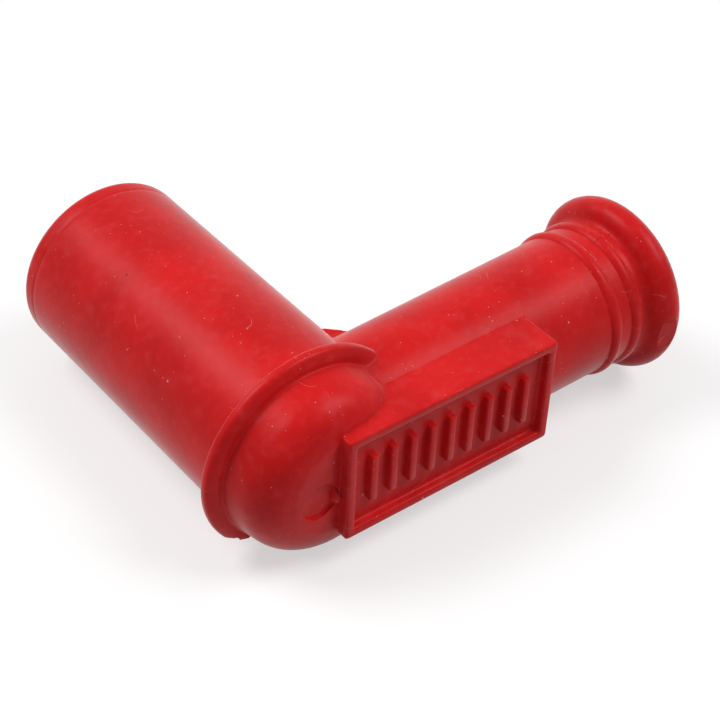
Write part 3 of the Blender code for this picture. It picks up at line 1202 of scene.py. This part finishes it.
class ShaderDesk:
    """The nodes of one material or world."""

    def __init__(self, tree: bpy.types.NodeTree) -> None:
        """Clears a tree to work on."""
        self.tree = tree
        tree.nodes.clear()

    def node(self, kind: str, settings: dict[str, object], inputs: dict[str | int, object]) -> bpy.types.Node:
        """Adds a node.

        Args:
            kind: the node's type.
            settings: its own settings, which are set first.
            inputs: a value, a socket or a Level for each input, by name or number.

        Returns:
            The node.
        """
        node = self.tree.nodes.new(kind)
        for name, value in settings.items():
            setattr(node, name, value)
        for name, value in inputs.items():
            if isinstance(value, Level):
                value = value.socket
            if isinstance(value, bpy.types.NodeSocket):
                self.tree.links.new(value, node.inputs[name])
            else:
                node.inputs[name].default_value = value
        return node

    def place(self) -> bpy.types.NodeSocket:
        """Returns the place on the object, in millimetres."""
        where = self.node("ShaderNodeTexCoord", {}, {}).outputs["Object"]
        return self.vector("SCALE", where, scale=1 / MM)

    def vector(
        self, operation: str, first: object, second: object = (0, 0, 0), scale: float = 1
    ) -> bpy.types.NodeSocket:
        """Adds a Vector Math node.

        Args:
            operation: what it does.
            first: its first vector.
            second: its second vector.
            scale: its number, for SCALE.

        Returns:
            Its vector.
        """
        inputs = {0: first, "Scale": scale} if operation == "SCALE" else {0: first, 1: second}
        return self.node("ShaderNodeVectorMath", {"operation": operation}, inputs).outputs["Vector"]

    def dot(self, first: object, second: object) -> Level:
        """Returns the dot product of two vectors."""
        node = self.node("ShaderNodeVectorMath", {"operation": "DOT_PRODUCT"}, {0: first, 1: second})
        return Level(self, node.outputs["Value"])

    def noise(self, where: object, scale: float, detail: float = 2) -> Level:
        """Returns noise from 0 to 1.

        Args:
            where: the place, in millimetres.
            scale: how many times it varies in a millimetre.
            detail: how much finer noise is added.
        """
        node = self.node("ShaderNodeTexNoise", {}, {"Vector": where, "Scale": scale, "Detail": detail})
        return Level(self, node.outputs["Fac"])

    def blend(self, share: Level | float, first: object, second: object) -> bpy.types.NodeSocket:
        """Mixes two colours.

        Args:
            share: how much of the second shows.
            first: a colour or a socket.
            second: a colour or a socket.

        Returns:
            The mixed colour.
        """
        colours = [(*c, 1) if isinstance(c, tuple) else c for c in (first, second)]
        node = self.node("ShaderNodeMix", {"data_type": "RGBA"}, {0: share, 6: colours[0], 7: colours[1]})
        return node.outputs[2]

    def bump(self, height: Level) -> bpy.types.NodeSocket:
        """Returns a normal that is tilted by a height in millimetres."""
        return self.node("ShaderNodeBump", {}, {"Height": height, "Distance": MM}).outputs["Normal"]

    def surface(self, inputs: dict[str, object]) -> None:
        """Sets a Principled surface, with the values or links of its sockets."""
        shader = self.node("ShaderNodeBsdfPrincipled", {}, inputs)
        self.node("ShaderNodeOutputMaterial", {}, {"Surface": shader.outputs["BSDF"]})


def new_material(name: str) -> tuple[bpy.types.Material, ShaderDesk]:
    """Makes an empty material and a desk for its nodes."""
    made = bpy.data.materials.new(name)
    made.use_nodes = True
    return made, ShaderDesk(made.node_tree)


@dataclass(frozen=True)
class Patches:
    """Soft patches of noise.

    Attributes:
        scale: how many times the noise varies in a millimetre.
        detail: how much finer noise is added.
        low: the noise at which a patch starts.
        high: the noise from which it is full.
    """

    scale: float
    detail: float
    low: float
    high: float

    def lay(self, desk: ShaderDesk, place: bpy.types.NodeSocket) -> Level:
        """Returns 1 inside a patch and 0 outside."""
        return desk.noise(place, self.scale, self.detail).fade(self.low, self.high)


@dataclass(frozen=True)
class Specks:
    """Scattered round specks.

    Attributes:
        cell: distance between neighbours, in millimetres.
        radius: the largest speck, in millimetres.
        share: how many of the cells hold one, from 0 to 1.
        shift: moves the pattern, so that two of them differ.
        smallest: the smallest speck's share of the largest.
    """

    cell: float
    radius: float
    share: float
    shift: float
    smallest: float = 0.3

    def scatter(self, desk: ShaderDesk, place: bpy.types.NodeSocket) -> Level:
        """Scatters the specks.

        Args:
            desk: the material's desk.
            place: the place, in millimetres.

        Returns:
            1 inside a speck and 0 outside.
        """
        moved = desk.vector("ADD", place, (self.shift, 2 * self.shift, -self.shift))
        cells = desk.node("ShaderNodeTexVoronoi", {}, {"Vector": moved, "Scale": 1 / self.cell})
        parts = desk.node("ShaderNodeSeparateColor", {}, {"Color": cells.outputs["Color"]})
        size = (Level(desk, parts.outputs[0]) * (1 - self.smallest) + self.smallest) * self.radius
        chosen = Level(desk, parts.outputs[1]).under(self.share)
        inside = (size - Level(desk, cells.outputs["Distance"]) * self.cell).fade(0, self.radius / 3)
        return inside * chosen


@dataclass(frozen=True)
class Hairs:
    """Scattered short thin hairs and scratches.

    Attributes:
        cell: distance between neighbours, in millimetres.
        width: half a hair's width, in millimetres.
        share: how many of the cells hold one, from 0 to 1.
        shift: moves the pattern.
        curl: how far they bend, in millimetres.
        curl_scale: how many times that varies in a millimetre.
        reach: where a hair starts to fade and where it has ended, as shares of a cell.
    """

    cell: float
    width: float
    share: float
    shift: float
    curl: float = 1.6
    curl_scale: float = 0.5
    reach: Point = (0.24, 0.30)

    def scatter(self, desk: ShaderDesk, place: bpy.types.NodeSocket) -> Level:
        """Scatters the hairs.

        Args:
            desk: the material's desk.
            place: the place, in millimetres.

        Returns:
            1 on a hair and 0 beside it.
        """
        bent = desk.node("ShaderNodeTexNoise", {}, {"Vector": place, "Scale": self.curl_scale, "Detail": 0})
        curl = desk.vector("SCALE", bent.outputs["Color"], scale=self.curl)
        shift = (self.shift, -self.shift, 3 * self.shift)
        moved = desk.vector("ADD", desk.vector("ADD", place, curl), shift)
        scaled = desk.vector("SCALE", moved, scale=1 / self.cell)
        cells = desk.node("ShaderNodeTexVoronoi", {}, {"Vector": scaled, "Scale": 1})
        offset = desk.vector("SUBTRACT", scaled, cells.outputs["Position"])
        tilt = desk.vector("NORMALIZE", desk.vector("SUBTRACT", cells.outputs["Color"], (0.5, 0.5, 0.5)))
        sheet = (abs(desk.dot(offset, tilt)) * self.cell).fade(2 * self.width, self.width / 2)
        parts = desk.node("ShaderNodeSeparateColor", {}, {"Color": cells.outputs["Color"]})
        chosen = Level(desk, parts.outputs[2]).under(self.share)
        full, ended = self.reach
        return sheet * chosen * Level(desk, cells.outputs["Distance"]).fade(ended, full)


@dataclass(frozen=True)
class RedSilicone:
    """Satin red silicone, handled and lightly dusted.

    Attributes:
        colour: the fresh silicone.
        deep: where its pigment lies thicker.
        bloom: the pale film where it was rubbed.
        dust: pale specks and lint.
        grit: dark specks.
        spot: where the largest dark speck is, in millimetres.
        fine_dust_shows: how much of the fine dust's colour shows. The other shares say the same.
        scuff_roughness: what the scuffs add to the roughness.
        grain_height: how high the grain stands, in millimetres, as the other heights.
    """

    colour: Colour = (0.640, 0.0080, 0.0085)
    deep: Colour = (0.520, 0.0050, 0.0058)
    bloom: Colour = (0.70, 0.090, 0.095)
    dust: Colour = (0.86, 0.62, 0.58)
    grit: Colour = (0.10, 0.004, 0.004)
    roughness: float = 0.33
    specular: float = 0.21
    specular_tint: Colour = (1.0, 0.62, 0.65)
    ior: float = 1.41
    sheen: float = 0.45
    sheen_roughness: float = 0.28
    sheen_tint: Colour = (1.0, 0.93, 0.95)
    clouds: Patches = Patches(0.11, 3, 0.3, 0.7)
    scuffs: Patches = Patches(0.32, 5, 0.52, 0.78)
    mottling: Patches = Patches(0.9, 4, 0.46, 0.76)
    fine_dust: Specks = Specks(0.85, 0.10, 0.8, 0)
    big_dust: Specks = Specks(2.1, 0.17, 0.55, 40)
    grit_specks: Specks = Specks(3.2, 0.16, 0.30, 71)
    lint: Hairs = Hairs(3.6, 0.014, 0.24, 17)
    spot: tuple[float, float, float] = (-25.42, 11.19, 22.49)
    spot_radius: float = 0.24
    fine_dust_shows: float = 0.34
    big_dust_shows: float = 0.55
    lint_shows: float = 0.24
    scuff_shows: float = 0.16
    mottling_shows: float = 0.11
    grain_shows: float = 0.05
    grit_shows: float = 0.8
    scuff_roughness: float = 0.07
    grain_roughness: float = 0.05
    dust_roughness: float = 0.3
    grain_scale: float = 5.5
    grain_height: float = 0.0035
    wave_scale: float = 0.45
    wave_height: float = 0.035
    dust_height: float = 0.012
    scuff_depth: float = 0.004

    def make(self) -> bpy.types.Material:
        """Builds the material.

        Returns:
            The material.
        """
        made, desk = new_material("red_silicone")
        place = desk.place()
        grain = desk.noise(place, self.grain_scale, 3)
        scuff = self.scuffs.lay(desk, place)
        fine, big = self.fine_dust.scatter(desk, place), self.big_dust.scatter(desk, place)
        pale = fine * self.fine_dust_shows + big * self.big_dust_shows
        pale = pale + self.lint.scatter(desk, place) * self.lint_shows
        worn = scuff * self.scuff_shows + self.mottling.lay(desk, place) * self.mottling_shows
        worn = worn + grain * self.grain_shows
        from_spot = desk.node("ShaderNodeVectorMath", {"operation": "DISTANCE"}, {0: place, 1: self.spot})
        spot = Level(desk, from_spot.outputs["Value"]).fade(self.spot_radius, self.spot_radius / 2)
        colour = desk.blend(self.clouds.lay(desk, place), self.colour, self.deep)
        colour = desk.blend(worn, colour, self.bloom)
        colour = desk.blend(pale, colour, self.dust)
        dark = (self.grit_specks.scatter(desk, place) + spot) * self.grit_shows
        colour = desk.blend(dark, colour, self.grit)
        height = grain * self.grain_height + desk.noise(place, self.wave_scale) * self.wave_height
        height = height + pale * self.dust_height - scuff * self.scuff_depth
        rough = self.roughness + scuff * self.scuff_roughness + grain * self.grain_roughness
        desk.surface({
            "Base Color": colour,
            "Roughness": rough + pale * self.dust_roughness,
            "IOR": self.ior,
            "Specular IOR Level": self.specular,
            "Specular Tint": (*self.specular_tint, 1),
            "Sheen Weight": self.sheen,
            "Sheen Roughness": self.sheen_roughness,
            "Sheen Tint": (*self.sheen_tint, 1),
            "Normal": desk.bump(height),
        })
        return made


@dataclass(frozen=True)
class TurnedBrass:
    """Turned brass, a little dulled, with fine tool marks round it.

    Attributes:
        axis: which of X, Y and Z it was turned about, as 0, 1 or 2.
        stain_shows: how much of the dull colour shows where it is stained.
        line_height: how high the tool marks stand, in millimetres.
        lines_across: how many times they vary in a millimetre across them.
    """

    name: str
    axis: int
    colour: Colour = (0.74, 0.52, 0.22)
    dull: Colour = (0.42, 0.27, 0.11)
    roughness: float = 0.24
    stains: Patches = Patches(0.9, 4, 0.35, 0.75)
    stain_shows: float = 0.55
    stain_roughness: float = 0.18
    line_roughness: float = 0.08
    line_height: float = 0.006
    lines_across: float = 14.0
    lines_along: float = 0.4

    def make(self) -> bpy.types.Material:
        """Builds the material.

        Returns:
            The material.
        """
        made, desk = new_material(self.name)
        place = desk.place()
        stretch = [self.lines_across if axis == self.axis else self.lines_along for axis in range(3)]
        lines = desk.noise(desk.vector("MULTIPLY", place, tuple(stretch)), 1, 2)
        stain = self.stains.lay(desk, place)
        desk.surface({
            "Base Color": desk.blend(stain * self.stain_shows, self.colour, self.dull),
            "Metallic": 1.0,
            "Roughness": self.roughness + stain * self.stain_roughness + lines * self.line_roughness,
            "Normal": desk.bump(lines * self.line_height),
        })
        return made


@dataclass(frozen=True)
class DrawnWire:
    """Bright drawn spring steel."""

    colour: Colour = (0.56, 0.57, 0.58)
    dull: Colour = (0.30, 0.29, 0.28)
    roughness: float = 0.22
    stains: Patches = Patches(1.6, 4, 0.4, 0.8)
    stain_shows: float = 0.5
    stain_roughness: float = 0.2
    scratch_scale: float = 9.0
    scratch_height: float = 0.004

    def make(self) -> bpy.types.Material:
        """Builds the material.

        Returns:
            The material.
        """
        made, desk = new_material("spring_steel")
        place = desk.place()
        stain = self.stains.lay(desk, place)
        scratch = desk.noise(place, self.scratch_scale)
        desk.surface({
            "Base Color": desk.blend(stain * self.stain_shows, self.colour, self.dull),
            "Metallic": 1.0,
            "Roughness": self.roughness + stain * self.stain_roughness,
            "Normal": desk.bump(scratch * self.scratch_height),
        })
        return made


@dataclass(frozen=True)
class PhotoCamera:
    """The camera that took the photo, found by fitting the cap's edges.

    Attributes:
        azimuth: in degrees, with 0 looking along +Y.
        elevation: above the horizon, in degrees.
        roll: the picture's turn, in degrees.
        focal_pixels: its focal length, in pixels of the photo.
        crossing_pixel: where the crossing of the bores' axes shows in the photo.
        crossing_depth: how far in front of the camera that point lies.
    """

    azimuth: float = -40.079
    elevation: float = 41.399
    roll: float = 2.619
    focal_pixels: float = 1860.8
    crossing_pixel: Point = (297.27, 441.95)
    crossing_depth: float = 0.21999

    def build(self, crossing: Vector) -> None:
        """Places the scene's camera.

        Args:
            crossing: where the bores' axes cross.
        """
        turn, rise, roll = (math.radians(angle) for angle in (self.azimuth, self.elevation, self.roll))
        ahead = Vector((-math.sin(turn) * math.cos(rise), math.cos(turn) * math.cos(rise), -math.sin(rise)))
        level = Vector((math.cos(turn), math.sin(turn), 0))
        right = level * math.cos(roll) + level.cross(ahead) * math.sin(roll)
        up = right.cross(ahead)
        across = (self.crossing_pixel[0] - PHOTO_SIDE / 2) / self.focal_pixels * self.crossing_depth
        down = (self.crossing_pixel[1] - PHOTO_SIDE / 2) / self.focal_pixels * self.crossing_depth
        lens = bpy.data.cameras.new("photo_camera")
        lens.lens = self.focal_pixels / PHOTO_SIDE * SENSOR_WIDTH
        lens.sensor_width = SENSOR_WIDTH
        lens.clip_start = 0.005
        camera = bpy.data.objects.new("photo_camera", lens)
        camera.location = crossing - ahead * self.crossing_depth - right * across + up * down
        camera.rotation_euler = Matrix((right, up, -ahead)).transposed().to_euler()
        bpy.context.scene.collection.objects.link(camera)
        bpy.context.scene.camera = camera


@dataclass(frozen=True)
class SoftLamp:
    """A square soft lamp that faces the cap.

    Attributes:
        azimuth: the side that it hangs on, in degrees round from +X.
        elevation: its height over the horizon, in degrees.
        power: in watts.
    """

    azimuth: float
    elevation: float
    power: float
    distance: float = 0.60
    side: float = 0.27

    def hang(self, name: str) -> None:
        """Puts the lamp in the scene.

        Args:
            name: the lamp's name.
        """
        light = bpy.data.lights.new(name, "AREA")
        light.shape = "SQUARE"
        light.size = self.side
        light.energy = self.power
        lamp = bpy.data.objects.new(name, light)
        turn, rise = math.radians(self.azimuth), math.radians(self.elevation)
        level = self.distance * math.cos(rise)
        lamp.location = (level * math.cos(turn), level * math.sin(turn), self.distance * math.sin(rise))
        lamp.rotation_euler = lamp.location.to_track_quat("Z", "Y").to_euler()
        bpy.context.scene.collection.objects.link(lamp)


@dataclass(frozen=True)
class Studio:
    """Pale floor, white surroundings and a soft lamp on either side.

    Attributes:
        left: the lamp over the barrel's side.
        right: the lamp over the lead tube's side.
        ambient: how strongly the surroundings light the cap.
        floor_colour: the floor's paper, as a light that falls on it shows.
        floor_glow: what the eye sees besides, which brings the lit paper up to white.
    """

    left: SoftLamp = SoftLamp(132, 52, 2.10)
    right: SoftLamp = SoftLamp(-40, 54, 1.80)
    ambient: float = 0.25
    floor_radius: float = 0.9
    floor_colour: Colour = (0.46, 0.46, 0.46)
    floor_glow: Colour = (0.56, 0.56, 0.56)
    glow_start: float = 0.035
    glow_full: float = 0.11

    def build(self) -> None:
        """Sets the floor, the lamps and the surroundings."""
        self._floor()
        self.left.hang("left_lamp")
        self.right.hang("right_lamp")
        self._surroundings()
        bpy.context.scene.view_settings.view_transform = "Standard"

    def _seen(self, desk: ShaderDesk) -> Level:
        """Returns 1 for rays that show the background: from the camera, a reflection or a clear body."""
        path = desk.node("ShaderNodeLightPath", {}, {})
        names = ("Is Camera Ray", "Is Glossy Ray", "Is Transmission Ray")
        rays = [Level(desk, path.outputs[name]) for name in names]
        return (rays[0] + rays[1] + rays[2]).fade(0, 1)

    def _floor(self) -> None:
        """Lays the floor, which keeps the cap's shadow near it and glows white further off."""
        form = bmesh.new()
        bmesh.ops.create_circle(form, cap_ends=True, segments=96, radius=self.floor_radius)
        floor = solid("floor", form)
        floor.data.materials.clear()
        made, desk = new_material("pale_floor")
        far = desk.node("ShaderNodeVectorMath", {"operation": "LENGTH"}, {0: desk.place()})
        away = Level(desk, far.outputs["Value"]).fade(self.glow_start / MM, self.glow_full / MM)
        seen = self._seen(desk)
        paper = desk.node("ShaderNodeBsdfPrincipled", {}, {
            "Base Color": (*self.floor_colour, 1),
            "Roughness": 1.0,
            "Specular IOR Level": 0.0,
            "Emission Color": desk.blend(seen, (0.0, 0.0, 0.0), self.floor_glow),
            "Emission Strength": 1.0,
        })
        glow = desk.node("ShaderNodeEmission", {}, {"Color": (1, 1, 1, 1), "Strength": 1.0})
        both = desk.node("ShaderNodeMixShader", {}, {0: seen * away, 1: paper.outputs[0], 2: glow.outputs[0]})
        desk.node("ShaderNodeOutputMaterial", {}, {"Surface": both.outputs[0]})
        floor.data.materials.append(made)

    def _surroundings(self) -> None:
        """Sets the world: white to the rays that show it, dimmer as a light."""
        world = bpy.data.worlds.new("surroundings")
        world.use_nodes = True
        desk = ShaderDesk(world.node_tree)
        strength = self.ambient + self._seen(desk) * (1 - self.ambient)
        back = desk.node("ShaderNodeBackground", {}, {"Color": (1, 1, 1, 1), "Strength": strength})
        desk.node("ShaderNodeOutputWorld", {}, {"Surface": back.outputs[0]})
        bpy.context.scene.world = world


def dress(piece: bpy.types.Object, finish: bpy.types.Material, node: str) -> None:
    """Gives a piece its finish and its place in the cap.

    Args:
        piece: the piece, in place.
        finish: its material.
        node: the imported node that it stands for.
    """
    piece.data.materials.append(finish)
    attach(piece, ROOT)
    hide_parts(node)
    log.info("%s: %d faces, for %s", piece.name, len(piece.data.polygons), node)


def cap_crossing(barrel: Barrel) -> Vector:
    """Finds where the bores' axes cross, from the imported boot's box.

    Args:
        barrel: the barrel's sizes.

    Returns:
        That point, in the cap's frame.
    """
    low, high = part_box("boot")
    return Vector((low.x + barrel.flange_radius, high.y - barrel.length, low.z + barrel.radius))


def main() -> None:
    """Builds the camera, the studio and every piece of the cap."""
    logging.basicConfig(level=logging.INFO, format="%(message)s")
    crossing = cap_crossing(Barrel())
    PhotoCamera().build(crossing)
    Studio().build()
    brassware = Brassware(crossing)
    dress(Boot(crossing).build(), RedSilicone().make(), "boot")
    dress(brassware.socket(), TurnedBrass("socket_brass", 1).make(), "plug_socket")
    dress(brassware.screw(), TurnedBrass("screw_brass", 0).make(), "lead_screw")
    dress(RetainingClip(crossing).build(), DrawnWire().make(), "retaining_clip")


if __name__ == "__main__":
    main()
